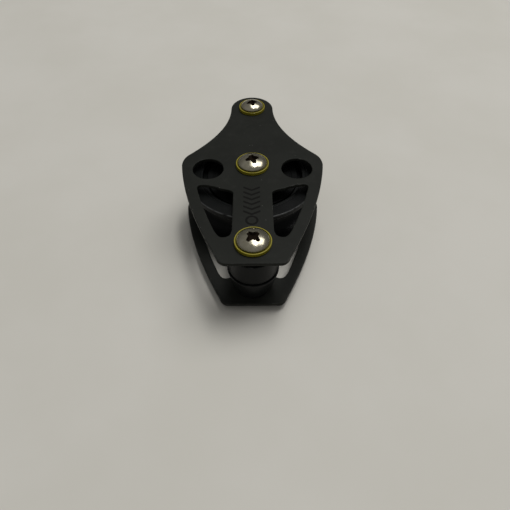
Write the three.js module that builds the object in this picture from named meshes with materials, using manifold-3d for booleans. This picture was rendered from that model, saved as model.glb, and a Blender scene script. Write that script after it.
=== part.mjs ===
// A single-sheave line block: two black cheek plates held apart by three screws.
// The middle screw is the sheave's axle, and the other two clamp rope posts between the cheeks.
// Millimetres. +Z is the axle's direction, the wide end's screw lies towards -Y and the lobe towards +Y.
// The origin is on the axle's axis, at the flush lower ends of the screws that the block rests on.

import * as THREE from 'three';
import { mergeVertices } from 'three/addons/utils/BufferGeometryUtils.js';
import Module from 'manifold-3d';

const wasm = await Module();
wasm.setup();

// Driving dimensions
const cheekThickness = 1.5;
const cheekGap = 23.6; // clear space between the two cheeks
const nutHeight = 2.9; // also how far the lower cheek stands off a table
const sheaveRadius = 28.4;
const sheaveThickness = 18;
const cheekCover = 2.1; // how far a cheek reaches past the sheave, each side
const frontRopeGap = 6.5; // sheave to front post
const rearRopeGap = 6.2; // sheave to rear post

// Sheave
const grooveRadius = 6.5;
const grooveDepth = 7.4;
const flangeWidth = 6.7; // flat side band, from the rim inwards
const rimRound = 0.4;

// Ball bearing: two rows between the sheave's bore and the hub
const ballRadius = 2.5;
const ballsPerRow = 14;
const ballPlay = 0.1; // radial clearance on each side of a ball
const raceWall = 2; // between the race and the bottom of the groove
const rowGap = 2.2; // between the balls of the two rows
const cageWall = 1.2; // half the cage's radial thickness
const cageBand = 0.8; // solid band of the cage beside its pockets
const cageLip = 0.7; // how far the cage reaches past the balls' centres
const pocketPlay = 0.2;
const coverThickness = 1.2;
const coverMargin = 0.8; // how far a cover reaches past the race
const coverBossRadius = 8;
const coverPlay = 0.25; // a cover's running clearance to the sheave

// Screws, washers and nuts: the front and middle are M6, the rear is M5
const m6 = { shaft: 3, head: 6.2, headHeight: 2.5, washer: 7.05, nutFlats: 10, nut: nutHeight, slot: 3.3 };
const spacerHeight = 0.5; // washer between the rear nut and the lower cheek
const spacerReach = 1; // how far it reaches past the nut's flats
const m5Nut = nutHeight - spacerHeight;
const m5 = { shaft: 2.5, head: 5.2, headHeight: 2.3, washer: 6.2, nutFlats: 8, nut: m5Nut, slot: 2.8 };
const washerThickness = 1.4;
const washerEdge = 0.25;
const headSide = 0.35; // upright share of a head's height, below its dome
const slotWidth = 1.5;
const slotDepth = 1.7;
const boreClearance = 0.1; // radial, round every screw
const seat = 0.02; // between faces that touch

// Rope posts: a straight upper drum on a tapered lower half
const frontPost = { drum: 9.6, rim: 10.2, foot: 7.3, neck: 7.4 };
const rearPost = { drum: 8.6, rim: 9, foot: 6.6, neck: 6.6 };
const neckHeight = 1.6;
const rimHeight = 0.8;
const partingGap = 0.3;
const edgeRound = 0.3;

// Cheek outline
const frontMargin = 10.1; // front screw to the front edge
const frontFlat = 9.8; // half the straight front edge
const frontCorner = { side: 13.7, back: 3.4, bend: 1.1 };
const sideBow = { out: 2.3, back: 23.5 };
const shoulder = { start: 0.5, corner: 5.2, end: { side: 3, back: 8 } };
const lobeRadius = 10.1;

// Cheek openings
const holeRadius = 6.6;
const holeEdge = 4.9; // cheek left outside a round hole
const holeBack = -2.2;
const ribWidth = 3.8; // between a round hole and its window
const stripHalf = 8; // half the solid strip along the middle
const sideWeb = 5; // cheek left outside a window
const windowFront = 3; // from the front screw
const windowRound = 4.2; // its two front corners
const outerBend = 1.8; // pulls the front outer corner's curve inwards
const rearSlope = 3.4; // the rear edge falls this far from the rib to the strip
const rearCorner = { strip: 1.5, side: 1.8, bulge: 0.4 };
const rearRun = { start: 5, lift: 1, end: 5.5, lean: 0.2 };

// Worked out from the values above
const lowerCheekZ = nutHeight;
const lowerFace = lowerCheekZ + cheekThickness;
const upperCheekZ = lowerFace + cheekGap;
const topFace = upperCheekZ + cheekThickness;
const midZ = lowerFace + cheekGap / 2;
const frontY = -(sheaveRadius + frontRopeGap + frontPost.rim);
const rearY = sheaveRadius + rearRopeGap + rearPost.rim;
const cheekHalf = sheaveRadius + cheekCover;
const frontEdge = frontY - frontMargin;
const webHalf = 2 * ballRadius + rowGap / 2 - ballPlay;
const grooveBottom = sheaveRadius - grooveDepth;
const outerRace = grooveBottom - raceWall;
const pitchRadius = outerRace - ballPlay - ballRadius;
const innerRace = pitchRadius - ballRadius - ballPlay;
const rowOffset = ballRadius + rowGap / 2;
const hubHalf = webHalf + coverPlay;
const fasteners = [
  { name: 'front', y: frontY, size: m6, turn: Math.PI / 4 },
  { name: 'axle', y: 0, size: m6, turn: Math.PI / 9 },
  { name: 'rear', y: rearY, size: m5, turn: Math.PI / 12 },
];

const anodised = { color: 0x242522, roughness: 0.5, metalness: 0.3 };
const blackPlastic = { color: 0x17181a, roughness: 0.45, metalness: 0 };
const stainless = { color: 0xa9a69c, roughness: 0.3, metalness: 1 };
const yellowPlastic = { color: 0x8a8424, roughness: 0.5, metalness: 0 };
const acetal = { color: 0xd8d6cc, roughness: 0.35, metalness: 0 };

const block = new THREE.Group();

function add(name, geometry, finish, position = [0, 0, 0]) {
  const mesh = new THREE.Mesh(geometry, new THREE.MeshStandardMaterial(finish));
  mesh.name = name;
  mesh.position.set(...position);
  block.add(mesh);
}

// A turned ring or shaft about Z, from [radius, height] points listed anticlockwise.
function turned(profile, segments = 36) {
  const points = [...profile, profile[0]].map(([r, z]) => new THREE.Vector2(r, z));
  return new THREE.LatheGeometry(points, segments).rotateX(Math.PI / 2);
}

function toSolid(geometry) {
  const bare = geometry.clone();
  bare.deleteAttribute('normal');
  bare.deleteAttribute('uv');
  const merged = mergeVertices(bare, 1e-4);
  const vertProperties = new Float32Array(merged.attributes.position.array);
  const triVerts = new Uint32Array(merged.index.array);
  return new wasm.Manifold(new wasm.Mesh({ numProp: 3, vertProperties, triVerts }));
}

function toGeometry(solid) {
  const mesh = solid.getMesh();
  const geometry = new THREE.BufferGeometry();
  geometry.setAttribute('position', new THREE.BufferAttribute(new Float32Array(mesh.vertProperties), 3));
  geometry.setIndex(new THREE.BufferAttribute(new Uint32Array(mesh.triVerts), 1));
  return geometry;
}

function cutAway(geometry, cutters) {
  const solid = cutters.reduce((rest, cutter) => rest.subtract(toSolid(cutter)), toSolid(geometry));
  return toGeometry(solid);
}

function roundHole(x, y, radius) {
  const hole = new THREE.Path();
  hole.absarc(x, y, radius, 0, 2 * Math.PI, true);
  return hole;
}

// The side of a cheek is one quadratic curve, which the window's outer edge follows.
function sideCurve(side) {
  const front = new THREE.Vector2(side * frontCorner.side, frontEdge + frontCorner.back);
  const back = new THREE.Vector2(side * cheekHalf, shoulder.start);
  const bow = new THREE.Vector2(side * (cheekHalf - sideBow.out), shoulder.start - sideBow.back);
  return new THREE.QuadraticBezierCurve(front, bow, back);
}

function cheekOutline() {
  const right = sideCurve(1);
  const left = sideCurve(-1);
  const shoulderSide = cheekHalf - shoulder.end.side;
  const waistBack = shoulder.end.back + shoulderSide - lobeRadius;
  const bend = frontCorner.side - frontCorner.bend;
  const outline = new THREE.Shape();
  outline.moveTo(-frontFlat, frontEdge);
  outline.lineTo(frontFlat, frontEdge);
  outline.quadraticCurveTo(bend, frontEdge, right.v0.x, right.v0.y);
  outline.quadraticCurveTo(right.v1.x, right.v1.y, right.v2.x, right.v2.y);
  outline.quadraticCurveTo(cheekHalf, shoulder.corner, shoulderSide, shoulder.end.back);
  outline.quadraticCurveTo(lobeRadius, waistBack, lobeRadius, rearY);
  outline.absarc(0, rearY, lobeRadius, 0, Math.PI, false);
  outline.quadraticCurveTo(-lobeRadius, waistBack, -shoulderSide, shoulder.end.back);
  outline.quadraticCurveTo(-cheekHalf, shoulder.corner, left.v2.x, left.v2.y);
  outline.quadraticCurveTo(left.v1.x, left.v1.y, left.v0.x, left.v0.y);
  outline.quadraticCurveTo(-bend, frontEdge, -frontFlat, frontEdge);
  return outline;
}

// A window between the middle strip and the cheek's side, wide at the rib and rounded at the front.
function windowPath(side) {
  const front = frontY + windowFront;
  const rear = holeBack - holeRadius - ribWidth;
  const steps = 60;
  const edge = sideCurve(1).getPoints(steps).map((p) => [p.x - sideWeb, p.y]);
  const outer = edge.filter(([, y]) => y > front + windowRound && y < rear - windowRound / 2);
  const kept = outer.filter((point, i) => i % 5 === 0 || i === outer.length - 1);
  const [firstX, firstY] = kept[0];
  const [lastX] = kept[kept.length - 1];
  const bottomX = (stripHalf + firstX) / 2;
  const slopeY = rear - rearSlope;
  const stripRear = slopeY - rearCorner.strip;
  const runX = stripHalf + rearRun.start;
  const path = new THREE.Path();
  path.moveTo(side * stripHalf, stripRear);
  path.lineTo(side * stripHalf, front + windowRound);
  path.quadraticCurveTo(side * stripHalf, front, side * bottomX, front);
  path.quadraticCurveTo(side * (firstX - outerBend), front, side * firstX, firstY);
  kept.slice(1).forEach(([x, y]) => path.lineTo(side * x, y));
  path.quadraticCurveTo(side * (lastX + rearCorner.bulge), rear, side * (lastX - rearCorner.side), rear);
  path.quadraticCurveTo(side * (lastX - rearRun.end), rear, side * runX, slopeY + rearRun.lift);
  path.quadraticCurveTo(side * (stripHalf + rearRun.lean), slopeY, side * stripHalf, stripRear);
  return path;
}

function cheek() {
  const outline = cheekOutline();
  const holeSide = cheekHalf - holeEdge - holeRadius;
  for (const side of [-1, 1]) {
    outline.holes.push(windowPath(side));
    outline.holes.push(roundHole(side * holeSide, holeBack, holeRadius));
  }
  for (const { y, size } of fasteners) {
    outline.holes.push(roundHole(0, y, size.shaft + boreClearance));
  }
  return new THREE.ExtrudeGeometry(outline, { depth: cheekThickness, bevelEnabled: false, curveSegments: 8 });
}

function addCheeks() {
  add('lower_cheek', cheek(), anodised, [0, 0, lowerCheekZ]);
  add('upper_cheek', cheek(), anodised, [0, 0, upperCheekZ]);
}

// Cross-shaped cutter for a Phillips recess.
function crossRecess(size, top, turn) {
  const a = slotWidth / 2;
  const b = size.slot;
  const corners = [
    [a, a], [a, b], [-a, b], [-a, a], [-b, a], [-b, -a],
    [-a, -a], [-a, -b], [a, -b], [a, -a], [b, -a], [b, a],
  ];
  const cross = new THREE.Shape(corners.map(([x, y]) => new THREE.Vector2(x, y)));
  const cutter = new THREE.ExtrudeGeometry(cross, { depth: slotDepth + 1, bevelEnabled: false });
  return cutter.rotateZ(turn).translate(0, 0, top - slotDepth);
}

// A pan-head screw: a domed head above z = 0 and its shaft below.
function panScrew(size, length, turn) {
  const domeSteps = 5;
  const side = size.headHeight * headSide;
  const dome = [];
  for (let i = 0; i <= domeSteps; i += 1) {
    const angle = (i / domeSteps) * (Math.PI / 2);
    dome.push([size.head * Math.cos(angle), side + (size.headHeight - side) * Math.sin(angle)]);
  }
  dome[domeSteps][0] = 0;
  const profile = [[0, -length], [size.shaft, -length], [size.shaft, 0], [size.head, 0], ...dome];
  return cutAway(turned(profile, 24), [crossRecess(size, size.headHeight, turn)]);
}

function washerRing(size) {
  const bore = size.shaft + boreClearance;
  const bottom = seat;
  const top = washerThickness;
  return turned([
    [bore, bottom], [size.washer, bottom], [size.washer, top - washerEdge],
    [size.washer - washerEdge, top], [bore, top],
  ], 32);
}

function hexNut(size) {
  const hexagon = new THREE.Shape();
  const corner = size.nutFlats / 2 / Math.cos(Math.PI / 6);
  for (let i = 0; i < 6; i += 1) {
    const angle = (i * Math.PI) / 3;
    hexagon[i ? 'lineTo' : 'moveTo'](corner * Math.cos(angle), corner * Math.sin(angle));
  }
  hexagon.closePath();
  hexagon.holes.push(roundHole(0, 0, size.shaft + boreClearance));
  const depth = size.nut - seat;
  return new THREE.ExtrudeGeometry(hexagon, { depth, bevelEnabled: false, curveSegments: 12 });
}

function addFasteners() {
  const headZ = topFace + washerThickness + seat;
  for (const { name, y, size, turn } of fasteners) {
    add(`${name}_screw`, panScrew(size, headZ, turn), stainless, [0, y, headZ]);
    add(`${name}_washer`, washerRing(size), yellowPlastic, [0, y, topFace]);
    add(`${name}_nut`, hexNut(size), stainless, [0, y, 0]);
  }
  const bore = m5.shaft + boreClearance;
  const rim = m5.nutFlats / 2 + spacerReach;
  const top = spacerHeight - seat;
  const ring = turned([[bore, 0], [rim, 0], [rim, top], [bore, top]], 24);
  add('rear_nut_washer', ring, stainless, [0, rearY, m5.nut]);
}

// Upper post half: a drum with a narrower neck under the upper cheek.
function postDrum(post, bore) {
  const height = cheekGap / 2 - partingGap / 2;
  const neckZ = height - neckHeight;
  return turned([
    [bore, 0], [post.drum - edgeRound, 0], [post.drum, edgeRound], [post.drum, neckZ - edgeRound],
    [post.drum - edgeRound, neckZ], [post.neck, neckZ], [post.neck, height - seat], [bore, height - seat],
  ]);
}

// Lower post half: a short rim that tapers down to its foot on the lower cheek.
function postFoot(post, bore) {
  const height = cheekGap / 2 - partingGap / 2;
  return turned([
    [bore, seat], [post.foot, seat], [post.rim, height - rimHeight],
    [post.rim, height - edgeRound], [post.rim - edgeRound, height], [bore, height],
  ]);
}

function addPost(name, post, y, size) {
  const bore = size.shaft + boreClearance;
  add(`${name}_post_lower`, postFoot(post, bore), blackPlastic, [0, y, lowerFace]);
  add(`${name}_post_upper`, postDrum(post, bore), blackPlastic, [0, y, midZ + partingGap / 2]);
}

// Sheave about mid height: bearing bore, recessed sides, flat flanges and a round rope groove.
function sheaveWheel() {
  const half = sheaveThickness / 2;
  const flangeInner = sheaveRadius - flangeWidth;
  const grooveCentre = grooveBottom + grooveRadius;
  const arcSteps = 8;
  const groove = [];
  for (let i = 0; i <= arcSteps; i += 1) {
    const angle = -Math.PI / 2 + (i / arcSteps) * Math.PI;
    groove.push([grooveCentre - grooveRadius * Math.cos(angle), grooveRadius * Math.sin(angle)]);
  }
  return turned([
    [outerRace, -webHalf], [flangeInner, -webHalf], [flangeInner, -half], [sheaveRadius - rimRound, -half],
    [sheaveRadius, -half + rimRound], [sheaveRadius, -grooveRadius], ...groove.slice(1, -1),
    [sheaveRadius, grooveRadius], [sheaveRadius, half - rimRound], [sheaveRadius - rimRound, half],
    [flangeInner, half], [flangeInner, webHalf], [outerRace, webHalf],
  ], 48);
}

function bearingHub() {
  const bore = m6.shaft + boreClearance;
  return turned([[bore, -hubHalf], [innerRace, -hubHalf], [innerRace, hubHalf], [bore, hubHalf]]);
}

// A cover keeps one ball row in and carries the hub's clamp load to its cheek.
function bearingCover() {
  const bore = m6.shaft + boreClearance;
  const rim = outerRace + coverMargin;
  const height = cheekGap / 2 - hubHalf - seat;
  return turned([
    [bore, seat], [rim, seat], [rim, coverThickness], [coverBossRadius, coverThickness],
    [coverBossRadius, height], [bore, height],
  ]);
}

// A ball's centre in its row; the two rows are half a step apart.
function ballPlace(index, row) {
  const angle = ((index + row / 2) / ballsPerRow) * 2 * Math.PI;
  return [pitchRadius * Math.cos(angle), pitchRadius * Math.sin(angle)];
}

// Crown cage: a band on the middle side of a row, with a round pocket drilled for each ball.
function crownCage(row) {
  const pocket = ballRadius + pocketPlay;
  const inner = pitchRadius - cageWall;
  const outer = pitchRadius + cageWall;
  const bandZ = -pocket - cageBand;
  const ring = turned([[inner, bandZ], [outer, bandZ], [outer, cageLip], [inner, cageLip]], 3 * ballsPerRow);
  const pockets = [];
  for (let i = 0; i < ballsPerRow; i += 1) {
    const [x, y] = ballPlace(i, row);
    const drill = new THREE.CylinderGeometry(pocket, pocket, 4 * cageWall, 12).rotateZ(Math.PI / 2);
    pockets.push(drill.rotateZ(Math.atan2(y, x)).translate(x, y, 0));
  }
  return cutAway(ring, pockets);
}

function addBearing() {
  const ball = () => new THREE.IcosahedronGeometry(ballRadius, 1);
  const upperZ = midZ + rowOffset;
  const lowerZ = midZ - rowOffset;
  add('bearing_hub', bearingHub(), anodised, [0, 0, midZ]);
  add('upper_bearing_cover', bearingCover(), blackPlastic, [0, 0, midZ + hubHalf]);
  add('lower_bearing_cover', bearingCover().rotateX(Math.PI), blackPlastic, [0, 0, midZ - hubHalf]);
  add('upper_ball_cage', crownCage(0), blackPlastic, [0, 0, upperZ]);
  add('lower_ball_cage', crownCage(1).rotateX(Math.PI), blackPlastic, [0, 0, lowerZ]);
  for (let i = 0; i < ballsPerRow; i += 1) {
    const number = String(i + 1).padStart(2, '0');
    const [upperX, upperY] = ballPlace(i, 0);
    const [lowerX, lowerY] = ballPlace(i, 1);
    add(`upper_ball_${number}`, ball(), acetal, [upperX, upperY, upperZ]);
    add(`lower_ball_${number}`, ball(), acetal, [lowerX, -lowerY, lowerZ]);
  }
}

addCheeks();
addFasteners();
addPost('front', frontPost, frontY, m6);
addPost('rear', rearPost, rearY, m5);
addBearing();
add('sheave', sheaveWheel(), blackPlastic, [0, 0, midZ]);

export default block;
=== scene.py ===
import math

import bmesh
import bpy
from mathutils import Matrix, Vector
from mathutils.geometry import tessellate_polygon


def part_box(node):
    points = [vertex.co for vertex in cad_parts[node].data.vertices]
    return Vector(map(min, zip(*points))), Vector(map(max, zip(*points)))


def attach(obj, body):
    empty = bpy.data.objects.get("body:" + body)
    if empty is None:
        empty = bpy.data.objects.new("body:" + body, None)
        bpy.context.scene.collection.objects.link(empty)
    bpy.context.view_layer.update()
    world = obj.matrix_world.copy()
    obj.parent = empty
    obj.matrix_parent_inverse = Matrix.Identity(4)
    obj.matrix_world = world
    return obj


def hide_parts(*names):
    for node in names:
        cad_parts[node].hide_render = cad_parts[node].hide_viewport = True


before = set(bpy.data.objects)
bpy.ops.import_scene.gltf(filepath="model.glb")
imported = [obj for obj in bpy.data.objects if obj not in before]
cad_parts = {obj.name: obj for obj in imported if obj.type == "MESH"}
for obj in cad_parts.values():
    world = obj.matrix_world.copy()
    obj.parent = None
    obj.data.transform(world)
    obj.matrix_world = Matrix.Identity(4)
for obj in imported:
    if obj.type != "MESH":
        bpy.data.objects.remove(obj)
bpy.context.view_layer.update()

mm = 0.001
scene = bpy.context.scene
scene.view_settings.view_transform = "Standard"
print("frame loaded:", len(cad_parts), "nodes")


# places read from the frame, in millimetres
def boxMm(node):
    low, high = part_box(node)
    return low / mm, high / mm


def middleOf(node):
    low, high = boxMm(node)
    return (low + high) / 2


upperLow, upperHigh = boxMm("upper_cheek")
lowerLow, lowerHigh = boxMm("lower_cheek")
sheaveLow, sheaveHigh = boxMm("sheave")
frontY = middleOf("front_screw").y
rearY = middleOf("rear_screw").y
midZ = (sheaveLow.z + sheaveHigh.z) / 2


# shader pieces that every finish shares
def calc(tree, operation, a, b=None, c=None, clamp=False):
    node = tree.nodes.new("ShaderNodeMath")
    node.operation = operation
    node.use_clamp = clamp
    for place, value in enumerate((a, b, c)):
        if isinstance(value, bpy.types.NodeSocket):
            tree.links.new(value, node.inputs[place])
        elif value is not None:
            node.inputs[place].default_value = value
    return node.outputs[0]


def spread(tree, value, low, high, outLow=0.0, outHigh=1.0):
    node = tree.nodes.new("ShaderNodeMapRange")
    node.interpolation_type = "SMOOTHSTEP"
    tree.links.new(value, node.inputs["Value"])
    for label, setting in (("From Min", low), ("From Max", high), ("To Min", outLow), ("To Max", outHigh)):
        if isinstance(setting, bpy.types.NodeSocket):
            tree.links.new(setting, node.inputs[label])
        else:
            node.inputs[label].default_value = setting
    return node.outputs["Result"]


def noise(tree, where, scale, detail=2.0, roughness=0.5):
    node = tree.nodes.new("ShaderNodeTexNoise")
    tree.links.new(where, node.inputs["Vector"])
    if isinstance(scale, bpy.types.NodeSocket):
        tree.links.new(scale, node.inputs["Scale"])
    else:
        node.inputs["Scale"].default_value = scale
    node.inputs["Detail"].default_value = detail
    node.inputs["Roughness"].default_value = roughness
    return node.outputs[0]


def onPiece(tree):
    return tree.nodes.new("ShaderNodeTexCoord").outputs["Object"]


def stored(tree, name, output="Fac"):
    node = tree.nodes.new("ShaderNodeAttribute")
    node.attribute_name = name
    return node.outputs[output]


def shaderGroup(name, inputs, outputs):
    group = bpy.data.node_groups.new(name, "ShaderNodeTree")
    for label, value in inputs.items():
        socket = group.interface.new_socket(name=label, in_out="INPUT", socket_type="NodeSocketFloat")
        socket.default_value = value
    for label in outputs:
        group.interface.new_socket(name=label, in_out="OUTPUT", socket_type="NodeSocketFloat")
    given = group.nodes.new("NodeGroupInput").outputs
    return group, given, group.nodes.new("NodeGroupOutput").inputs


def edgeWearGroup():
    group, given, result = shaderGroup("edgeWear", {"Patch Scale": 500.0, "Amount": 0.5}, ["Mask"])
    patches = noise(group, onPiece(group), given["Patch Scale"], 4, 0.6)
    start = calc(group, "SUBTRACT", 0.75, calc(group, "MULTIPLY", given["Amount"], 0.6))
    stop = calc(group, "ADD", start, 0.25)
    rubbed = spread(group, patches, start, stop)
    group.links.new(calc(group, "MULTIPLY", stored(group, "wear"), rubbed, clamp=True), result["Mask"])
    return group


def surfaceGrainGroup():
    sizes = {"Grain Scale": 5000.0, "Mottle Scale": 120.0}
    group, given, result = shaderGroup("surfaceGrain", sizes, ["Grain", "Mottle"])
    where = onPiece(group)
    group.links.new(noise(group, where, given["Grain Scale"], 3, 0.65), result["Grain"])
    broad = noise(group, where, given["Mottle Scale"], 4, 0.55)
    group.links.new(spread(group, broad, 0.3, 0.7), result["Mottle"])
    return group


# dust lies on what faces up, as fine specks in loose patches
def dustSpecksGroup():
    group, given, result = shaderGroup("dustSpecks", {"Speck Scale": 900.0, "Amount": 0.3}, ["Mask"])
    where = onPiece(group)
    cells = group.nodes.new("ShaderNodeTexVoronoi")
    group.links.new(where, cells.inputs["Vector"])
    group.links.new(given["Speck Scale"], cells.inputs["Scale"])
    specks = spread(group, cells.outputs["Distance"], 0.06, 0.16, 1.0, 0.0)
    chosen = group.nodes.new("ShaderNodeSeparateColor")
    group.links.new(cells.outputs["Color"], chosen.inputs[0])
    rare = calc(group, "LESS_THAN", chosen.outputs[0], calc(group, "MULTIPLY", given["Amount"], 0.5))
    facing = group.nodes.new("ShaderNodeSeparateXYZ")
    group.links.new(group.nodes.new("ShaderNodeNewGeometry").outputs["Normal"], facing.inputs[0])
    upward = spread(group, facing.outputs["Z"], 0.2, 0.9)
    haze = calc(group, "MULTIPLY", spread(group, noise(group, where, 260, 5, 0.7), 0.5, 0.75), 0.35)
    thinHaze = calc(group, "MULTIPLY", haze, given["Amount"])
    both = calc(group, "MAXIMUM", calc(group, "MULTIPLY", specks, rare), thinHaze)
    group.links.new(calc(group, "MULTIPLY", both, upward, clamp=True), result["Mask"])
    return group


# rings left by the turning tool, read from each point's distance to the turning axis
def turnMarksGroup():
    group, given, result = shaderGroup("turnMarks", {"Ring Scale": 6000.0}, ["Rings"])
    split = group.nodes.new("ShaderNodeSeparateXYZ")
    group.links.new(stored(group, "turned", "Vector"), split.inputs[0])
    join = group.nodes.new("ShaderNodeCombineXYZ")
    group.links.new(split.outputs["X"], join.inputs["X"])
    group.links.new(split.outputs["Y"], join.inputs["Y"])
    group.links.new(noise(group, join.outputs[0], given["Ring Scale"], 3, 0.7), result["Rings"])
    return group


groups = {
    "wear": edgeWearGroup(),
    "grain": surfaceGrainGroup(),
    "dust": dustSpecksGroup(),
    "rings": turnMarksGroup(),
}


def placed(tree, kind, values):
    node = tree.nodes.new("ShaderNodeGroup")
    node.node_tree = groups[kind]
    for label, value in values.items():
        node.inputs[label].default_value = value
    return node.outputs


def mixed(tree, amount, base, other):
    node = tree.nodes.new("ShaderNodeMix")
    node.data_type = "RGBA"
    tree.links.new(amount, node.inputs[0])
    for place, colour in ((6, base), (7, other)):
        if isinstance(colour, bpy.types.NodeSocket):
            tree.links.new(colour, node.inputs[place])
        else:
            node.inputs[place].default_value = (*colour, 1)
    return node.outputs[2]


surface = {"dustRough": 0.3, "paintedDarkRough": 0.6, "bumpDistance": 0.0001}


def finish(name, look):
    material = bpy.data.materials.new(name)
    material.use_nodes = True
    tree = material.node_tree
    shader = tree.nodes["Principled BSDF"]
    material.diffuse_color = (*look["colour"], 1)
    grain = placed(tree, "grain", {"Grain Scale": look["grainScale"], "Mottle Scale": look["mottleScale"]})
    wear = placed(tree, "wear", {"Patch Scale": look["patchScale"], "Amount": look["wear"]})["Mask"]
    dust = placed(tree, "dust", {"Speck Scale": look["speckScale"], "Amount": look["dust"]})["Mask"]
    rings = placed(tree, "rings", {"Ring Scale": look["ringScale"]})["Rings"]

    colour = mixed(tree, grain["Mottle"], look["colour"], look["mottle"])
    colour = mixed(tree, wear, colour, look["worn"])
    # paintedDark is a painted darker colour: painted shade on the washer seats under the screw heads, and the dark
    # brownish colour of the screw recesses
    if "paintedDark" in look:
        paintedDark = calc(tree, "MULTIPLY", stored(tree, "paintedDark"), look["paintedDarkAmount"], clamp=True)
        colour = mixed(tree, paintedDark, colour, look["paintedDark"])
    colour = mixed(tree, dust, colour, look["dustColour"])
    tree.links.new(colour, shader.inputs["Base Color"])

    uneven = calc(tree, "MULTIPLY_ADD", grain["Mottle"], look["roughSpread"], look["roughness"])
    streaky = calc(tree, "MULTIPLY_ADD", rings, look["ringRough"], uneven)
    rough = calc(tree, "MULTIPLY_ADD", dust, surface["dustRough"], streaky)
    metallic = look["metallic"]
    shader.inputs["Metallic"].default_value = metallic
    if "paintedDark" in look:
        rough = calc(tree, "MULTIPLY_ADD", paintedDark, surface["paintedDarkRough"], rough)
    if "paintedDark" in look and metallic:
        bare = calc(tree, "MULTIPLY_ADD", paintedDark, -metallic, metallic, clamp=True)
        tree.links.new(bare, shader.inputs["Metallic"])
    rough = calc(tree, "MULTIPLY_ADD", wear, look["wornRough"], rough, clamp=True)
    tree.links.new(rough, shader.inputs["Roughness"])
    shader.inputs["Specular IOR Level"].default_value = look["specular"]

    fine = calc(tree, "MULTIPLY", grain["Grain"], look["grainDepth"])
    height = calc(tree, "MULTIPLY_ADD", rings, look["ringDepth"], fine)
    bump = tree.nodes.new("ShaderNodeBump")
    bump.inputs["Strength"].default_value = look["bump"]
    bump.inputs["Distance"].default_value = surface["bumpDistance"]
    tree.links.new(height, bump.inputs["Height"])
    tree.links.new(bump.outputs["Normal"], shader.inputs["Normal"])
    return material


plainLook = {
    "colour": (0.0134, 0.0144, 0.0123), "mottle": (0.016, 0.0171, 0.0147), "worn": (0.08, 0.081, 0.076),
    "dustColour": (0.12, 0.118, 0.11),
    "grainScale": 4200, "mottleScale": 90, "patchScale": 420, "speckScale": 800, "ringScale": 5200,
    "wear": 0.4, "dust": 0.12, "metallic": 0.0, "specular": 0.08,
    "roughness": 0.44, "roughSpread": 0.06, "ringRough": 0.0, "wornRough": -0.08,
    "grainDepth": 0.35, "ringDepth": 0.0, "bump": 0.35,
}

anodised = finish("blackAnodised", plainLook)

engraved = finish("engravedFace", {
    **plainLook,
    "colour": (0.006, 0.006, 0.0055), "mottle": (0.0075, 0.0075, 0.007), "worn": (0.012, 0.012, 0.012),
    "roughness": 0.62, "dust": 0.05, "wear": 0.1, "specular": 0.06,
})

turnedPlastic = finish("turnedBlackPlastic", {
    **plainLook,
    "colour": (0.006, 0.0068, 0.0068), "mottle": (0.0075, 0.0083, 0.0083), "worn": (0.04, 0.042, 0.043),
    "roughness": 0.28, "ringRough": 0.06, "specular": 0.09, "ringDepth": 0.55, "grainDepth": 0.12,
    "bump": 0.3, "grainScale": 2600, "mottleScale": 150, "wear": 0.55, "dust": 0.08,
})

# a darker copy of the black acetal, painted shade on the sheave between the cheeks; the light worn colour on its
# rim edges is rubbed wear and a painted highlight
sheaveShadedPlastic = finish("sheaveShadedBlackPlastic", {
    **plainLook,
    "colour": (0.0042, 0.0048, 0.0048), "mottle": (0.0054, 0.006, 0.006), "worn": (0.075, 0.077, 0.078),
    "roughness": 0.26, "ringRough": 0.08, "specular": 0.085, "ringDepth": 0.6, "grainDepth": 0.1,
    "bump": 0.3, "grainScale": 2600, "mottleScale": 150, "wear": 0.75, "dust": 0.06,
})

mouldedPlastic = finish("mouldedBlackPlastic", {
    **plainLook,
    "colour": (0.008, 0.0085, 0.009), "mottle": (0.01, 0.0105, 0.011), "worn": (0.03, 0.03, 0.031),
    "roughness": 0.36, "grainScale": 3000, "ringDepth": 0.12, "dust": 0.04, "specular": 0.14,
})

# a darker, duller copy of the black acetal: painted shade on the bearing covers deep inside the block
coverShadedPlastic = finish("coverShadedBlackPlastic", {
    **plainLook,
    "colour": (0.004, 0.0044, 0.0044), "mottle": (0.005, 0.0054, 0.0054), "worn": (0.01, 0.01, 0.01),
    "roughness": 0.5, "grainScale": 3000, "ringDepth": 0.12, "dust": 0.03, "specular": 0.04, "wear": 0.2,
})

# its paintedDark colour is the dark brownish colour painted into the screw recesses
steel = finish("brushedStainless", {
    **plainLook, "colour": (0.36, 0.335, 0.25), "mottle": (0.43, 0.4, 0.315), "worn": (0.5, 0.48, 0.42),
    "paintedDark": (0.012, 0.008, 0.005), "paintedDarkAmount": 3.0, "metallic": 1.0, "specular": 0.03,
    "roughness": 0.1, "roughSpread": 0.07, "ringRough": 0.08, "wornRough": -0.06,
    "ringDepth": 0.5, "grainDepth": 0.25, "bump": 0.22,
    "grainScale": 3200, "mottleScale": 520, "patchScale": 900, "dust": 0.04, "dustColour": (0.3, 0.28, 0.24),
})

# its paintedDark colour, a darker olive, is painted shade on the washer seat under the screw head
yellowPlastic = finish("yellowPlastic", {
    **plainLook, "colour": (0.23, 0.195, 0.008), "mottle": (0.29, 0.25, 0.012), "worn": (0.46, 0.43, 0.04),
    "paintedDark": (0.05, 0.045, 0.01), "paintedDarkAmount": 0.8, "roughness": 0.4, "specular": 0.35,
    "grainScale": 2400, "mottleScale": 240, "dust": 0.05, "ringDepth": 0.2, "dustColour": (0.3, 0.29, 0.2),
})

whitePlastic = finish("whitePlastic", {
    **plainLook, "colour": (0.68, 0.67, 0.6), "mottle": (0.72, 0.71, 0.65), "worn": (0.78, 0.77, 0.72),
    "roughness": 0.28, "specular": 0.5, "grainScale": 1800, "mottleScale": 300,
    "dust": 0.03, "dustColour": (0.5, 0.48, 0.42),
})
print("finishes ready")


# mesh helpers: shapes are drawn in millimetres and become metres in newObject
rubbing = {"startAngle": 9, "overAngle": 12}


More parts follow.
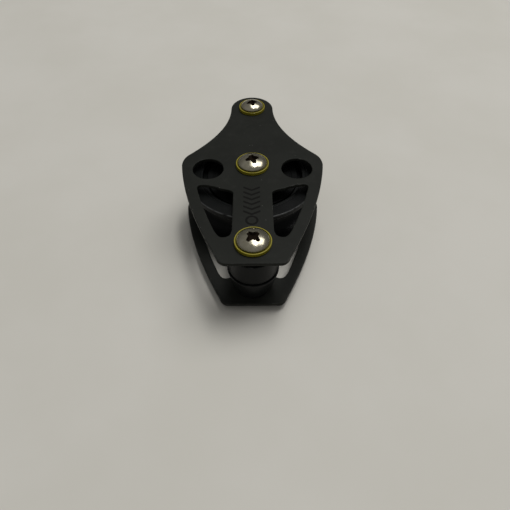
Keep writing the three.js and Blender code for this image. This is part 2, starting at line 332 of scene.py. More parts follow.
def newObject(name, bm, centre=(0, 0), material=None, sharpAbove=33, paintedDarkAt=None, wearAndHighlightFrom=0):
    wear = bm.verts.layers.float.new("wear")
    turned = bm.verts.layers.float_vector.new("turned")
    paintedDark = bm.verts.layers.float.new("paintedDark")
    for vert in bm.verts:
        bends = [edge.calc_face_angle_signed(0) for edge in vert.link_edges if len(edge.link_faces) == 2]
        sharpness = (math.degrees(max(bends, default=0)) - rubbing["startAngle"]) / rubbing["overAngle"]
        reach = math.hypot(vert.co.x - centre[0], vert.co.y - centre[1])
        vert[wear] = 0 if reach < wearAndHighlightFrom else min(1, max(0, sharpness))
        vert[turned] = (reach * mm, vert.co.z * mm, 0)
        # paintedDark marks where a piece is painted darker: painted shade on the washer seat, the dark screw recess
        vert[paintedDark] = 0 if paintedDarkAt is None else paintedDarkAt(reach, vert.co.z)
    bmesh.ops.scale(bm, vec=(mm, mm, mm), verts=bm.verts)
    mesh = bpy.data.meshes.new(name)
    bm.to_mesh(mesh)
    bm.free()
    mesh.shade_smooth()
    mesh.set_sharp_from_angle(angle=math.radians(sharpAbove))
    if material:
        mesh.materials.append(material)
    piece = bpy.data.objects.new(name, mesh)
    scene.collection.objects.link(piece)
    return piece


def quadPoints(start, bend, end, steps=20):
    points = []
    for i in range(1, steps + 1):
        t = i / steps
        a, b, c = (1 - t) ** 2, 2 * t * (1 - t), t * t
        points.append(tuple(a * start[axis] + b * bend[axis] + c * end[axis] for axis in (0, 1)))
    return points


def arcPoints(centre, radius, start, end, steps):
    turns = [start + (end - start) * i / steps for i in range(steps + 1)]
    return [(centre[0] + radius * math.cos(a), centre[1] + radius * math.sin(a)) for a in turns]


# profile points from (radius, height, fillet) corners, with a holding point each side of a fillet
def rounded(corners, steps=4, hold=0.2):
    points = []
    for i, (x, y, fillet) in enumerate(corners):
        if fillet <= 0:
            points.append((x, y))
            continue
        here = Vector((x, y))
        back = Vector(corners[i - 1][:2]) - here
        ahead = Vector(corners[(i + 1) % len(corners)][:2]) - here
        cut = min(fillet, back.length * 0.4, ahead.length * 0.4)
        start = here + back.normalized() * cut
        end = here + ahead.normalized() * cut
        points.append(tuple(here + back.normalized() * min(cut + hold, back.length * 0.48)))
        points.append(tuple(start))
        points.extend(quadPoints(start, here, end, steps))
        points.append(tuple(here + ahead.normalized() * min(cut + hold, ahead.length * 0.48)))
    return points


def turnedShape(profile, segments=96, centre=(0, 0), base=0.0):
    bm = bmesh.new()
    rings = []
    for radius, height in profile:
        count = 1 if radius < 1e-6 else segments
        angles = [2 * math.pi * i / segments for i in range(count)]
        places = [(centre[0] + radius * math.cos(a), centre[1] + radius * math.sin(a)) for a in angles]
        rings.append([bm.verts.new((x, y, base + height)) for x, y in places])
    following = rings[1:] + rings[:1] if len(rings[0]) > 1 else rings[1:]
    for a, b in zip(rings, following):
        for i in range(segments):
            j = (i + 1) % segments
            around = [a[i % len(a)], a[j % len(a)], b[j % len(b)], b[i % len(b)]]
            corners = [v for k, v in enumerate(around) if v not in around[:k]]
            if len(corners) > 2:
                bm.faces.new(corners)
    bmesh.ops.recalc_face_normals(bm, faces=bm.faces)
    return bm


def cleaned(loop):
    kept = []
    for point in loop:
        if not kept or math.dist(point, kept[-1]) > 1e-3:
            kept.append(point)
    if math.dist(kept[0], kept[-1]) < 1e-3:
        kept.pop()
    return kept


def areaOf(loop):
    return sum(a[0] * b[1] - b[0] * a[1] for a, b in zip(loop, loop[1:] + loop[:1])) / 2


# moves a loop to its left, which is into the plate for an anticlockwise outline or a clockwise hole
def shifted(loop, amount):
    points = [Vector(p) for p in loop]
    moved = []
    for i, here in enumerate(points):
        before = (here - points[i - 1]).normalized()
        after = (points[(i + 1) % len(points)] - here).normalized()
        sideA = Vector((-before.y, before.x))
        sideB = Vector((-after.y, after.x))
        moved.append(tuple(here + (sideA + sideB) * amount / max(0.35, 1 + sideA.dot(sideB))))
    return moved


def roundedPlate(outline, holes, low, high, edge):
    loops = [cleaned(outline) if areaOf(outline) > 0 else cleaned(outline)[::-1]]
    loops += [cleaned(hole) if areaOf(hole) < 0 else cleaned(hole)[::-1] for hole in holes]
    turns = [math.pi / 2 * i / edge["steps"] for i in range(edge["steps"] + 1)]
    top = [(edge["round"] * (1 - math.sin(a)), high - edge["round"] * (1 - math.cos(a))) for a in turns]
    sweep = [(edge["round"] + edge["hold"], high)] + top
    sweep += [(inset, low + high - z) for inset, z in reversed(sweep)]
    bm = bmesh.new()
    caps = {0: [], len(sweep) - 1: []}
    for loop in loops:
        rings = []
        for level, (inset, z) in enumerate(sweep):
            ring = [bm.verts.new((x, y, z)) for x, y in shifted(loop, inset)]
            rings.append(ring)
            if level in caps:
                caps[level].append(ring)
        for a, b in zip(rings, rings[1:]):
            for i in range(len(a)):
                j = (i + 1) % len(a)
                bm.faces.new((a[i], b[i], b[j], a[j]))
    for level, rings in caps.items():
        flat = [vert for ring in rings for vert in ring]
        for corners in tessellate_polygon([[vert.co for vert in ring] for ring in rings]):
            bm.faces.new([flat[c] for c in corners])
    bmesh.ops.recalc_face_normals(bm, faces=bm.faces)
    return bm


# Geometry Nodes trees for what repeats
def repeatTree(name, sizes):
    tree = bpy.data.node_groups.new(name, "GeometryNodeTree")
    tree.interface.new_socket(name="Geometry", in_out="OUTPUT", socket_type="NodeSocketGeometry")
    for label, kind in sizes.items():
        tree.interface.new_socket(name=label, in_out="INPUT", socket_type="NodeSocket" + kind)
    given = tree.nodes.new("NodeGroupInput").outputs
    return tree, given, tree.nodes.new("NodeGroupOutput").inputs["Geometry"]


def copiesOf(tree, piece, points, turn):
    source = tree.nodes.new("GeometryNodeObjectInfo")
    tree.links.new(piece, source.inputs["Object"])
    rotate = tree.nodes.new("FunctionNodeEulerToRotation")
    axis = tree.nodes.new("ShaderNodeCombineXYZ")
    tree.links.new(turn, axis.inputs["Z"])
    tree.links.new(axis.outputs[0], rotate.inputs[0])
    copies = tree.nodes.new("GeometryNodeInstanceOnPoints")
    tree.links.new(points, copies.inputs["Points"])
    tree.links.new(source.outputs["Geometry"], copies.inputs["Instance"])
    tree.links.new(rotate.outputs[0], copies.inputs["Rotation"])
    return copies.outputs[0]


def ended(tree, geometry, material, result):
    real = tree.nodes.new("GeometryNodeRealizeInstances")
    tree.links.new(geometry, real.inputs[0])
    colour = tree.nodes.new("GeometryNodeSetMaterial")
    tree.links.new(real.outputs[0], colour.inputs["Geometry"])
    tree.links.new(material, colour.inputs["Material"])
    tree.links.new(colour.outputs[0], result)


def alongLineTree():
    tree, given, result = repeatTree("setAlongLine", {
        "Piece": "Object", "Count": "Int", "Start": "Vector", "Step": "Vector",
        "First Turn": "Float", "Turn Step": "Float", "Material": "Material",
    })
    line = tree.nodes.new("GeometryNodeMeshLine")
    tree.links.new(given["Count"], line.inputs["Count"])
    tree.links.new(given["Start"], line.inputs["Start Location"])
    tree.links.new(given["Step"], line.inputs["Offset"])
    index = tree.nodes.new("GeometryNodeInputIndex").outputs[0]
    turn = calc(tree, "MULTIPLY_ADD", index, given["Turn Step"], given["First Turn"])
    ended(tree, copiesOf(tree, given["Piece"], line.outputs[0], turn), given["Material"], result)
    return tree


def ringPoints(tree, given):
    circle = tree.nodes.new("GeometryNodeMeshCircle")
    tree.links.new(given["Count"], circle.inputs["Vertices"])
    tree.links.new(given["Ring Radius"], circle.inputs["Radius"])
    lift = tree.nodes.new("ShaderNodeCombineXYZ")
    tree.links.new(given["Height"], lift.inputs["Z"])
    turn = tree.nodes.new("ShaderNodeCombineXYZ")
    tree.links.new(given["First Turn"], turn.inputs["Z"])
    move = tree.nodes.new("GeometryNodeTransform")
    tree.links.new(circle.outputs[0], move.inputs["Geometry"])
    tree.links.new(lift.outputs[0], move.inputs["Translation"])
    tree.links.new(turn.outputs[0], move.inputs["Rotation"])
    index = tree.nodes.new("GeometryNodeInputIndex").outputs[0]
    stepTurn = calc(tree, "DIVIDE", 2 * math.pi, given["Count"])
    return move.outputs[0], calc(tree, "MULTIPLY_ADD", index, stepTurn, given["First Turn"])


def onRingTree():
    tree, given, result = repeatTree("setOnRing", {
        "Piece": "Object", "Count": "Int", "Ring Radius": "Float", "Height": "Float",
        "First Turn": "Float", "Material": "Material",
    })
    points, turn = ringPoints(tree, given)
    ended(tree, copiesOf(tree, given["Piece"], points, turn), given["Material"], result)
    return tree


# a band with a pocket cut out of it at each place round the ring
def pocketRingTree():
    tree, given, result = repeatTree("pocketRing", {
        "Piece": "Object", "Band": "Object", "Count": "Int", "Ring Radius": "Float", "Height": "Float",
        "First Turn": "Float", "Material": "Material",
    })
    points, turn = ringPoints(tree, given)
    band = tree.nodes.new("GeometryNodeObjectInfo")
    tree.links.new(given["Band"], band.inputs["Object"])
    cut = tree.nodes.new("GeometryNodeMeshBoolean")
    cut.operation = "DIFFERENCE"
    tree.links.new(band.outputs["Geometry"], cut.inputs["Mesh 1"])
    pockets = tree.nodes.new("GeometryNodeRealizeInstances")
    tree.links.new(copiesOf(tree, given["Piece"], points, turn), pockets.inputs[0])
    tree.links.new(pockets.outputs[0], cut.inputs["Mesh 2"])
    ended(tree, cut.outputs[0], given["Material"], result)
    return tree


trees = {"line": alongLineTree(), "ring": onRingTree(), "pockets": pocketRingTree()}


def grown(name, kind, values):
    tree = trees[kind]
    piece = bpy.data.objects.new(name, bpy.data.meshes.new(name + "Start"))
    scene.collection.objects.link(piece)
    pattern = piece.modifiers.new("pattern", "NODES")
    pattern.node_group = tree
    for item in tree.interface.items_tree:
        if item.in_out == "INPUT":
            pattern[item.identifier] = values[item.name]
    bpy.context.view_layer.update()
    mesh = bpy.data.meshes.new_from_object(piece.evaluated_get(bpy.context.evaluated_depsgraph_get()))
    piece.modifiers.remove(pattern)
    piece.data = mesh
    for source in values.values():
        if isinstance(source, bpy.types.Object):
            bpy.data.objects.remove(source)
    return piece


def settle(piece, body, slot, *nodes):
    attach(piece, body)
    if nodes:
        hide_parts(*nodes)


# camera and light first
shot = {"place": (-0.000285, -0.16351, 0.16086), "tilt": 40.561, "turn": -0.49, "lens": 33.698}
camera = bpy.data.objects.new("camera", bpy.data.cameras.new("camera"))
camera.location = shot["place"]
camera.rotation_euler = (math.radians(shot["tilt"]), 0, math.radians(shot["turn"]))
camera.data.lens = shot["lens"]
camera.data.clip_start = 0.005
scene.collection.objects.link(camera)
scene.camera = camera

# a narrow ceiling light for the highlights and a broad one for the soft shadow
lights = {
    "ceilingLight": {
        "towards": (0.15, 0.21, 0.96), "wide": 0.28, "long": 1.3, "power": 13.0, "colour": (1.0, 0.985, 0.96),
    },
    "ceilingGlow": {
        "towards": (0.28, 0.33, 0.9), "wide": 2.0, "long": 1.4, "power": 30.2, "colour": (1.0, 0.99, 0.965),
    },
}
room = {"lightAway": 2.6, "zenith": (0.3, 0.298, 0.292), "horizon": (0.13, 0.13, 0.128)}


# the long side lies along the block
def softLight(name, towards, wide, long, power, colour):
    data = bpy.data.lights.new(name, "AREA")
    data.shape = "RECTANGLE"
    data.size = wide
    data.size_y = long
    data.energy = power
    data.color = colour
    lamp = bpy.data.objects.new(name, data)
    direction = Vector(towards).normalized()
    lamp.location = direction * room["lightAway"]
    across = Vector((0, 1, 0)).cross(direction).normalized()
    lamp.rotation_euler = Matrix((across, direction.cross(across), direction)).transposed().to_euler()
    scene.collection.objects.link(lamp)


for name, values in lights.items():
    softLight(name, **values)


# the room is brightest overhead and dim near the table
def dimRoom():
    world = bpy.data.worlds.new("room")
    world.use_nodes = True
    tree = world.node_tree
    split = tree.nodes.new("ShaderNodeSeparateXYZ")
    tree.links.new(tree.nodes.new("ShaderNodeTexCoord").outputs["Generated"], split.inputs[0])
    height = spread(tree, split.outputs["Z"], 0.0, 1.0)
    tree.links.new(mixed(tree, height, room["horizon"], room["zenith"]), tree.nodes["Background"].inputs["Color"])
    scene.world = world


dimRoom()

table = {"half": 1.6, "below": 0.00005, "colour": (0.615, 0.6, 0.55), "mottle": (0.645, 0.63, 0.585)}


def tableTop():
    bm = bmesh.new()
    half = table["half"]
    corners = ((-half, -half), (half, -half), (half, half), (-half, half))
    bm.faces.new([bm.verts.new((x, y, -table["below"])) for x, y in corners])
    mesh = bpy.data.meshes.new("tableTop")
    bm.to_mesh(mesh)
    bm.free()
    floor = bpy.data.objects.new("tableTop", mesh)
    scene.collection.objects.link(floor)
    mesh.materials.append(finish("paleTable", {
        **plainLook, "colour": table["colour"], "mottle": table["mottle"], "worn": table["mottle"], "wear": 0.0,
        "dust": 0.0, "roughness": 0.62, "roughSpread": 0.05, "grainScale": 900, "mottleScale": 14, "bump": 0.05,
        "specular": 0.25,
    }))


tableTop()
print("camera, light and table ready")


# cheek plates
cheek = {
    "edge": {"round": 0.32, "hold": 0.3, "steps": 5},
    "frontFlat": 9.8, "frontCorner": (13.7, 3.4, 1.1), "bow": (2.3, 23.5),
    "shoulder": (0.5, 5.2, 3.0, 8.0), "holeRadius": 6.6, "holeEdge": 4.9, "holeBack": -2.2,
    "rib": 3.8, "strip": 8.0, "web": 5.0, "windowFront": 3.0, "windowRound": 4.2, "outerBend": 1.8,
    "rearSlope": 3.4, "rearCorner": (1.5, 1.8, 0.4), "rearRun": (5.0, 1.0, 5.5, 0.2),
    "bolts": (("front", 3.1), ("axle", 3.1), ("rear", 2.6)),
}


def sidePoints(steps):
    cornerX, cornerBack = cheek["frontCorner"][:2]
    start = (cornerX, upperLow.y + cornerBack)
    end = (upperHigh.x, cheek["shoulder"][0])
    middle = (upperHigh.x - cheek["bow"][0], end[1] - cheek["bow"][1])
    return [start] + quadPoints(start, middle, end, steps)


def cheekOutline():
    half = upperHigh.x
    front = upperLow.y
    lobe = upperHigh.y - rearY
    cornerX, cornerBack, bend = cheek["frontCorner"]
    start, corner, inward, back = cheek["shoulder"]
    waistBack = back + half - inward - lobe
    right = [(0, front), (cheek["frontFlat"], front)]
    right += quadPoints(right[-1], (cornerX - bend, front), (cornerX, front + cornerBack), 10)
    right += sidePoints(40)
    right += quadPoints(right[-1], (half, corner), (half - inward, back), 12)
    right += quadPoints(right[-1], (lobe, waistBack), (lobe, rearY), 40)
    right += arcPoints((0, rearY), lobe, 0, math.pi / 2, 28)[1:]
    left = [(-x, y) for x, y in reversed(right)]
    return right + left[1:-1]


def windowLoop(side):
    front = frontY + cheek["windowFront"]
    rear = cheek["holeBack"] - cheek["holeRadius"] - cheek["rib"]
    strip = cheek["strip"]
    edgePoints = [(x - cheek["web"], y) for x, y in sidePoints(60)]
    firstY = front + cheek["windowRound"]
    lastY = rear - cheek["windowRound"] / 2
    outer = [point for point in edgePoints if firstY < point[1] < lastY]
    firstX = outer[0][0]
    lastX = outer[-1][0]
    slopeY = rear - cheek["rearSlope"]
    stripRear, sideIn, bulge = cheek["rearCorner"]
    runStart, lift, runEnd, lean = cheek["rearRun"]
    loop = [(strip, slopeY - stripRear), (strip, firstY)]
    loop += quadPoints(loop[-1], (strip, front), ((strip + firstX) / 2, front), 12)
    loop += quadPoints(loop[-1], (firstX - cheek["outerBend"], front), outer[0], 12)
    loop += outer[1:]
    loop += quadPoints(loop[-1], (lastX + bulge, rear), (lastX - sideIn, rear), 12)
    loop += quadPoints(loop[-1], (lastX - runEnd, rear), (strip + runStart, slopeY + lift), 14)
    loop += quadPoints(loop[-1], (strip + lean, slopeY), (strip, slopeY - stripRear), 10)
    return [(side * x, y) for x, y in loop]


def cheekHoles():
    holeX = upperHigh.x - cheek["holeEdge"] - cheek["holeRadius"]
    holes = [windowLoop(1), windowLoop(-1)]
    for side in (-1, 1):
        holes.append(arcPoints((side * holeX, cheek["holeBack"]), cheek["holeRadius"], 0, 2 * math.pi, 64))
    places = {"front": frontY, "axle": 0, "rear": rearY}
    for bolt, radius in cheek["bolts"]:
        holes.append(arcPoints((0, places[bolt]), radius, 0, 2 * math.pi, 40))
    return holes


for name, low, high in (("upper", upperLow, upperHigh), ("lower", lowerLow, lowerHigh)):
    plate = roundedPlate(cheekOutline(), cheekHoles(), low.z, high.z, cheek["edge"])
    piece = newObject(name + "CheekPlate", plate, material=anodised)
    settle(piece, "frame", "black_anodised_aluminium", name + "_cheek")
print("cheek plates ready")


# plain direction mark let into the middle strip: a column of chevrons and a ring
mark = {
    "x": -0.4, "rear": -15.6, "count": 6, "step": 2.8, "half": 3.4, "rise": 1.8, "bar": 1.05,
    "ringY": -33.4, "ringOuter": 2.6, "ringInner": 1.7, "proud": 0.012, "sunk": 0.1,
}
markTop = upperHigh.z + mark["proud"]
markBase = upperHigh.z - mark["sunk"]


def chevron():
    half, rise, bar = mark["half"], mark["rise"], mark["bar"]
    outline = [(-half, rise), (-half, rise - bar), (0, -bar), (half, rise - bar), (half, rise), (0, 0)]
    bm = bmesh.new()
    lower = [bm.verts.new((x, y, markBase)) for x, y in outline]
    upper = [bm.verts.new((x, y, markTop)) for x, y in outline]
    for i in range(len(outline)):
        j = (i + 1) % len(outline)
        bm.faces.new((lower[i], lower[j], upper[j], upper[i]))
    for ring in (upper, lower):
        bm.faces.new((ring[0], ring[1], ring[2], ring[5]))
        bm.faces.new((ring[5], ring[2], ring[3], ring[4]))
    bmesh.ops.recalc_face_normals(bm, faces=bm.faces)
    return newObject("chevron", bm)


chevrons = grown("directionMark", "line", {
    "Piece": chevron(), "Count": mark["count"], "Start": (mark["x"] * mm, mark["rear"] * mm, 0),
    "Step": (0, -mark["step"] * mm, 0), "First Turn": 0.0, "Turn Step": 0.0, "Material": engraved,
})
settle(chevrons, "frame", "black_anodised_aluminium")
markRing = turnedShape([
    (mark["ringInner"], markBase), (mark["ringOuter"], markBase),
    (mark["ringOuter"], markTop), (mark["ringInner"], markTop),
], 64, (mark["x"], mark["ringY"]))
settle(newObject("markRing", markRing, material=engraved), "frame", "black_anodised_aluminium")
print("direction mark ready")


# copies of a piece on the block's bolts, from one node's place to the next
def setOnBolts(name, piece, nodes, base, material, slot, turns=(0, 0)):
    firstY = middleOf(nodes[0]).y
    step = middleOf(nodes[-1]).y - firstY
    row = grown(name, "line", {
        "Piece": piece, "Count": len(nodes), "Start": (0, firstY * mm, base * mm), "Step": (0, step * mm, 0),
        "First Turn": math.radians(turns[0]), "Turn Step": math.radians(turns[1]), "Material": material,
    })
    settle(row, "frame", slot, *nodes)


# pan-head screws, two M6 and one M5
screwKinds = {
    "large": {
        "nodes": ("front_screw", "axle_screw"), "shank": 3.0, "head": 6.1, "rise": 2.5, "side": 0.4,
        "span": 3.45, "tip": 0.62, "heart": 1.25, "depth": 1.9, "pitch": 1.0, "turns": (45, -26),
    },
    "small": {
        "nodes": ("rear_screw",), "shank": 2.5, "head": 5.1, "rise": 2.3, "side": 0.35,
        "span": 2.9, "tip": 0.52, "heart": 1.05, "depth": 1.6, "pitch": 0.8, "turns": (15, 0),
    },
}
thread = {"levels": 8, "depth": 0.3025, "steep": 2.4, "flat": 0.15, "runOut": 1.5, "chamfer": 0.5}
dome = {"fullness": 0.72, "steps": 22}
recessDark = {"above": 0.4, "below": 0.03, "over": 0.12, "reach": 1.05}


# the thread is a true helix: the radius follows height and angle together
def threadedShank(bm, kind, top, bottom, segments=40):
    levels = int((top - bottom) / (kind["pitch"] / thread["levels"]))
    rings = []
    for level in range(levels + 1):
        z = top + (bottom - top) * level / levels
        ring = []
        for i in range(segments):
            angle = 2 * math.pi * i / segments
            phase = (z / kind["pitch"] + i / segments) % 1
            groove = min(1, max(0, abs(phase - 0.5) * thread["steep"] - thread["flat"]))
            fade = min(1, (top - z) / thread["runOut"])
            chamfer = max(0, thread["chamfer"] - (z - bottom))
            radius = kind["shank"] - max(thread["depth"] * kind["pitch"] * groove * fade, chamfer)
            ring.append(bm.verts.new((radius * math.cos(angle), radius * math.sin(angle), z)))
        rings.append(ring)
    for a, b in zip(rings, rings[1:]):
        for i in range(segments):
            bm.faces.new((a[i], a[(i + 1) % segments], b[(i + 1) % segments], b[i]))
    bm.faces.new(rings[0])
    bm.faces.new(rings[-1])


def crossCutter(kind):
    bm = bmesh.new()
    rings = []
    for z, span, tip, heart in (
        (kind["rise"] + 0.5, kind["span"] * 1.06, kind["tip"] * 1.1, kind["heart"] * 1.25),
        (kind["rise"] - 0.35, kind["span"] * 0.97, kind["tip"], kind["heart"]),
        (kind["rise"] - kind["depth"] * 0.75, kind["span"] * 0.6, kind["tip"] * 0.8, kind["heart"] * 0.8),
        (kind["rise"] - kind["depth"], kind["span"] * 0.2, kind["tip"] * 0.3, kind["heart"] * 0.3),
    ):
        ring = []
        for quarter in range(4):
            angle = quarter * math.pi / 2
            across, along = math.cos(angle), math.sin(angle)
            for x, y in ((span, -tip), (span, tip), (heart, heart)):
                ring.append(bm.verts.new((x * across - y * along, x * along + y * across, z)))
        rings.append(ring)
    for a, b in zip(rings, rings[1:]):
        for i in range(len(a)):
            j = (i + 1) % len(a)
            bm.faces.new((a[i], a[j], b[j], b[i]))
    bm.faces.new(rings[0])
    bm.faces.new(rings[-1])
    bmesh.ops.recalc_face_normals(bm, faces=bm.faces)
    return bm


def panHead(kind):
    head, rise, side = kind["head"], kind["rise"], kind["side"]
    profile = [
        (0, 0), (kind["shank"] * 0.9, 0), (head - 0.5, 0), (head - 0.2, 0.02), (head - 0.06, 0.08),
        (head, 0.2), (head, side),
    ]
    for i in range(1, dome["steps"] + 1):
        angle = math.pi / 2 * i / dome["steps"]
        reach = head * math.cos(angle) if i < dome["steps"] else 0
        profile.append((reach, side + (rise - side) * math.sin(angle) ** (2 * dome["fullness"])))
    return turnedShape(profile, 96)


def applied(piece):
    mesh = bpy.data.meshes.new_from_object(piece.evaluated_get(bpy.context.evaluated_depsgraph_get()))
    piece.modifiers.clear()
    return mesh


def asScratch(name, bm):
    mesh = bpy.data.meshes.new(name)
    bm.to_mesh(mesh)
    bm.free()
    piece = bpy.data.objects.new(name, mesh)
    scene.collection.objects.link(piece)
    return piece


def cutHead(kind):
    blank = asScratch("headBlank", panHead(kind))
    tool = asScratch("crossTool", crossCutter(kind))
    cut = blank.modifiers.new("cross", "BOOLEAN")
    cut.operation = "DIFFERENCE"
    cut.object = tool
    bpy.context.view_layer.update()
    bm = bmesh.new()
    bm.from_mesh(applied(blank))
    bpy.data.objects.remove(blank)
    bpy.data.objects.remove(tool)
    return bm


def domeHeight(kind, reach):
    share = min(1, reach / kind["head"])
    return kind["side"] + (kind["rise"] - kind["side"]) * (1 - share ** 2) ** dome["fullness"]


# the cross recess is painted dark brownish, rougher and less metallic, from just below the dome surface downwards
def recessPaintedDark(kind, reach, z):
    if z <= recessDark["above"] or reach >= kind["span"] * recessDark["reach"]:
        return 0
    return min(1, max(0, (domeHeight(kind, reach) - z - recessDark["below"]) / recessDark["over"]))


for size, kind in screwKinds.items():
    base = boxMm(kind["nodes"][0])[1].z - kind["rise"]
    bm = cutHead(kind)
    threadedShank(bm, kind, 0.0, -base)
    bmesh.ops.recalc_face_normals(bm, faces=bm.faces)
    screw = newObject(size + "Screw", bm, paintedDarkAt=lambda reach, z: recessPaintedDark(kind, reach, z), sharpAbove=28)
    setOnBolts(size + "Screws", screw, kind["nodes"], base, steel, "stainless_steel", kind["turns"])
print("screws ready")


# yellow washers: a raised lip round a lower seat, the seat painted darker olive as painted shade under the screw
# head
washerKinds = {
    "large": {"nodes": ("front_washer", "axle_washer"), "bore": 3.1, "lip": 0.42, "seat": 6.2, "floor": 0.3},
    "small": {"nodes": ("rear_washer",), "bore": 2.6, "lip": 0.42, "seat": 5.2, "floor": 0.3},
}

for size, kind in washerKinds.items():
    low, high = boxMm(kind["nodes"][0])
    outer = (high.x - low.x) / 2
    tall = high.z - low.z
    inner = outer - kind["lip"]
    profile = rounded([
        (kind["bore"], 0, 0.1), (outer, 0, 0.12), (outer, tall, 0.16), (inner, tall, 0.14),
        (inner - 0.06, tall - kind["floor"], 0.08), (kind["seat"], tall - kind["floor"], 0.08),
        (kind["seat"], tall - 0.02, 0.05), (kind["bore"], tall - 0.02, 0.1),
    ], hold=0.08)
    # painted shade: the seat inside the lip, under the screw head, is painted darker olive
    paintedShadeUnderHead = lambda reach, z: 1 if reach < inner - 0.02 and z > tall * 0.5 else 0
    washer = newObject(size + "Washer", turnedShape(profile, 96), paintedDarkAt=paintedShadeUnderHead)
    setOnBolts(size + "Washers", washer, kind["nodes"], low.z, yellowPlastic, "yellow_nylon")
print("washers ready")


# hexagon nuts with chamfered corners
nutKinds = {
    "large": {"nodes": ("front_nut", "axle_nut"), "bore": 3.1, "chamfer": 0.55},
    "small": {"nodes": ("rear_nut",), "bore": 2.6, "chamfer": 0.45},
}
nutShape = {"perSide": 12, "chamferSteps": 6, "faceIn": 0.25, "boreDeep": 0.6, "boreWide": 0.7}


def hexNut(kind, low, high):
    flats = (high.y - low.y) / 2
    tall = high.z - low.z
    corner = flats / math.cos(math.pi / 6)
    around = 6 * nutShape["perSide"]
    bm = bmesh.new()
    rings = []

    def hexReach(angle):
        return flats / math.cos(angle % (math.pi / 3) - math.pi / 6)

    def ringAt(z, limit, bore=False):
        ring = []
        for i in range(around):
            angle = 2 * math.pi * i / around
            reach = limit if bore else min(hexReach(angle), limit)
            ring.append(bm.verts.new((reach * math.cos(angle), reach * math.sin(angle), z)))
        rings.append(ring)

    cut = kind["chamfer"]
    steps = nutShape["chamferSteps"]
    face = flats - nutShape["faceIn"]
    mouth = kind["bore"] + cut * nutShape["boreWide"]
    inside = cut * nutShape["boreDeep"]
    ringAt(inside, kind["bore"], True)
    ringAt(0, mouth, True)
    ringAt(0, face, True)
    for i in range(steps + 1):
        ringAt(cut * i / steps, face + (corner - face) * i / steps)
    for i in range(steps, -1, -1):
        ringAt(tall - cut * i / steps, face + (corner - face) * i / steps)
    ringAt(tall, mouth, True)
    ringAt(tall - inside, kind["bore"], True)
    for a, b in zip(rings, rings[1:] + rings[:1]):
        for i in range(len(a)):
            j = (i + 1) % len(a)
            bm.faces.new((a[i], a[j], b[j], b[i]))
    bmesh.ops.remove_doubles(bm, verts=bm.verts, dist=1e-4)
    bmesh.ops.recalc_face_normals(bm, faces=bm.faces)
    return bm


for size, kind in nutKinds.items():
    low, high = boxMm(kind["nodes"][0])
    nut = newObject(size + "Nut", hexNut(kind, low, high), sharpAbove=24)
    setOnBolts(size + "Nuts", nut, kind["nodes"], low.z, steel, "stainless_steel")

low, high = boxMm("rear_nut_washer")
bore = nutKinds["small"]["bore"]
outer = (high.x - low.x) / 2
tall = high.z - low.z
spacer = turnedShape(rounded([
    (bore, 0, 0.08), (outer, 0, 0.12), (outer, tall, 0.08), (bore, tall, 0.08),
], hold=0.05), 72, (0, rearY), low.z)
settle(newObject("rearNutWasher", spacer, (0, rearY), steel), "frame", "stainless_steel", "rear_nut_washer")
print("nuts ready")


# rope posts
posts = {
    "front": {"bore": 3.1, "drum": 9.6, "rim": 10.2, "foot": 7.3, "neck": 7.4, "neckTall": 1.6, "rimTall": 0.8},
    "rear": {"bore": 2.6, "drum": 8.6, "rim": 9.0, "foot": 6.6, "neck": 6.6, "neckTall": 1.6, "rimTall": 0.8},
}

for name, post in posts.items():
    centre = (0, frontY if name == "front" else rearY)
    low, high = boxMm(name + "_post_lower")
    tall = high.z - low.z
    foot = turnedShape(rounded([
        (post["bore"], 0, 0.15), (post["foot"] - 0.05, 0, 0.15), (post["foot"] + 0.05, 0.5, 0.2),
        (post["rim"] - 0.05, tall - post["rimTall"], 0.5), (post["rim"], tall, 0.32), (post["bore"], tall, 0.15),
    ]), 128, centre, low.z)
    settle(newObject(name + "PostFoot", foot, centre, turnedPlastic), "frame", "black_acetal", name + "_post_lower")
    low, high = boxMm(name + "_post_upper")
    tall = high.z - low.z
    neckZ = tall - post["neckTall"]
    drum = turnedShape(rounded([
        (post["bore"], 0, 0.15), (post["drum"], 0, 0.32), (post["drum"], neckZ, 0.38), (post["neck"], neckZ, 0.25),
        (post["neck"], tall, 0.12), (post["bore"], tall, 0.12),
    ]), 128, centre, low.z)
    settle(newObject(name + "PostDrum", drum, centre, turnedPlastic), "frame", "black_acetal", name + "_post_upper")
print("posts ready")


# sheave about mid height
wheel = {
    "race": 19.0, "web": 6.0, "flangeInner": 21.7, "grooveRadius": 6.5, "grooveDepth": 7.4,
    "rimRound": 0.45, "lipRound": 0.35, "ringLine": 0.12, "ringWidth": 0.5, "wearAndHighlightFrom": 27,
}


def sheaveProfile():
    outer = sheaveHigh.x
    half = (sheaveHigh.z - sheaveLow.z) / 2
    centreR = outer - wheel["grooveDepth"] + wheel["grooveRadius"]
    arc = arcPoints((centreR, 0), wheel["grooveRadius"], math.pi / 2, 1.5 * math.pi, 32)
    flange = wheel["flangeInner"]
    line = wheel["ringLine"]
    lineR = flange + 1.1
    side = [
        (wheel["race"], wheel["web"], 0.25), (flange, wheel["web"], 0.3), (flange, half, 0.35),
        (lineR, half, 0.05), (lineR + 0.1, half - line, 0.05), (lineR + wheel["ringWidth"], half - line, 0.05),
        (lineR + wheel["ringWidth"] + 0.1, half, 0.05), (outer, half, wheel["rimRound"]),
        (outer, wheel["grooveRadius"] + 0.3, wheel["lipRound"]),
    ]
    upper = rounded(side, hold=0.25)
    lower = [(r, -z) for r, z in reversed(upper)]
    return upper + arc[1:-1] + lower


bm = turnedShape(sheaveProfile(), 160, (0, 0), midZ)
# darker acetal as painted shade; from wearAndHighlightFrom outwards the rim edges get the light worn colour, wear
# and a painted highlight
sheave = newObject("ropeSheave", bm, material=sheaveShadedPlastic, wearAndHighlightFrom=wheel["wearAndHighlightFrom"])
settle(sheave, "sheave", "black_acetal", "sheave")
print("sheave ready")


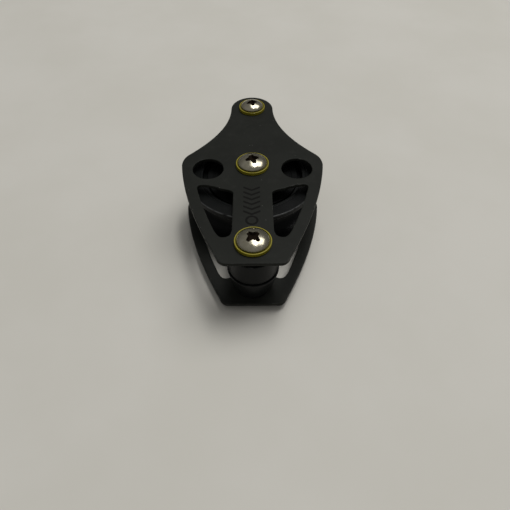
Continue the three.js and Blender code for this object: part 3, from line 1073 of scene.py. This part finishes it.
# bearing: hub, covers, balls and their cages
bearing = {
    "bore": 3.1, "inner": 13.8, "pitch": 16.4, "ball": 2.5, "count": 14, "pocket": 2.7, "cageWall": 1.2,
    "cageLow": -3.5, "cageLip": 0.7, "boss": 8.0, "coverThin": 1.2, "seamHeight": 0.02,
}

low, high = boxMm("bearing_hub")
hubHalf = (high.z - low.z) / 2
rowOffset = middleOf("upper_ball_01").z - midZ
hub = turnedShape(rounded([
    (bearing["bore"], -hubHalf, 0.2), (bearing["inner"], -hubHalf, 0.3), (bearing["inner"], -0.5, 0.05),
    (bearing["inner"] - 0.3, -0.3, 0.05), (bearing["inner"] - 0.3, 0.3, 0.05), (bearing["inner"], 0.5, 0.05),
    (bearing["inner"], hubHalf, 0.3), (bearing["bore"], hubHalf, 0.2),
]), 128, (0, 0), midZ)
settle(newObject("bearingHub", hub, material=anodised), "frame", "black_anodised_aluminium", "bearing_hub")

for name, sign in (("upper", 1), ("lower", -1)):
    low, high = boxMm(name + "_bearing_cover")
    tall = high.z - low.z
    rim = (high.x - low.x) / 2
    face = bearing["coverThin"]
    corners = [
        (bearing["bore"], 0, 0.15), (rim, 0, 0.2), (rim, face, 0.3), (rim - 2.4, face, 0.1),
        (rim - 2.6, face - 0.15, 0.05), (rim - 3.2, face - 0.15, 0.05), (rim - 3.4, face, 0.1),
        (bearing["boss"], face, 0.4), (bearing["boss"], tall, 0.3), (bearing["bore"], tall, 0.15),
    ]
    profile = rounded(corners)
    if sign < 0:
        profile = [(r, tall - z) for r, z in reversed(profile)]
    # painted shade: the covers take the darker copy of the black acetal
    cover = newObject(name + "BearingCover", turnedShape(profile, 128, (0, 0), low.z), material=coverShadedPlastic)
    settle(cover, "frame", "black_acetal", name + "_bearing_cover")


# a ball with the faint line of its mould
def ballShape():
    steps = 24
    profile = []
    for i in range(steps + 1):
        angle = -math.pi / 2 + math.pi * i / steps
        radius = bearing["ball"] - (0 if i == steps / 2 else bearing["seamHeight"])
        profile.append((radius * math.cos(angle) if 0 < i < steps else 0, radius * math.sin(angle)))
    return newObject("ballShape", turnedShape(profile, 32))


def cageBand(sign):
    inner = bearing["pitch"] - bearing["cageWall"]
    outer = bearing["pitch"] + bearing["cageWall"]
    low, high = sorted((sign * bearing["cageLow"], sign * bearing["cageLip"]))
    corners = [(inner, low, 0.15), (outer, low, 0.15), (outer, high, 0.15), (inner, high, 0.15)]
    band = turnedShape(rounded(corners), 168, (0, 0), midZ + sign * rowOffset)
    return newObject("cageBand", band)


def pocketShape():
    radius = bearing["pocket"]
    steps = 16
    angles = [-math.pi / 2 + math.pi * i / steps for i in range(steps + 1)]
    profile = [(radius * math.cos(a) if 0 < i < steps else 0, radius * math.sin(a)) for i, a in enumerate(angles)]
    return newObject("pocketShape", turnedShape(profile, 28))


for name, sign, row in (("upper", 1, 0), ("lower", -1, 1)):
    firstPlace = middleOf(name + "_ball_01")
    ring = {
        "Count": bearing["count"], "Ring Radius": bearing["pitch"] * mm, "Height": (midZ + sign * rowOffset) * mm,
        "First Turn": math.atan2(firstPlace.y, firstPlace.x),
    }
    balls = grown(name + "BallRow", "ring", {"Piece": ballShape(), "Material": whitePlastic, **ring})
    names = [f"{name}_ball_{i:02d}" for i in range(1, bearing["count"] + 1)]
    settle(balls, name + "_ball_row", "white_acetal", *names)
    cage = grown(name + "BallCage", "pockets", {
        "Piece": pocketShape(), "Band": cageBand(sign), "Material": mouldedPlastic, **ring,
    })
    settle(cage, name + "_ball_row", "black_acetal", name + "_ball_cage")
print("bearing ready")
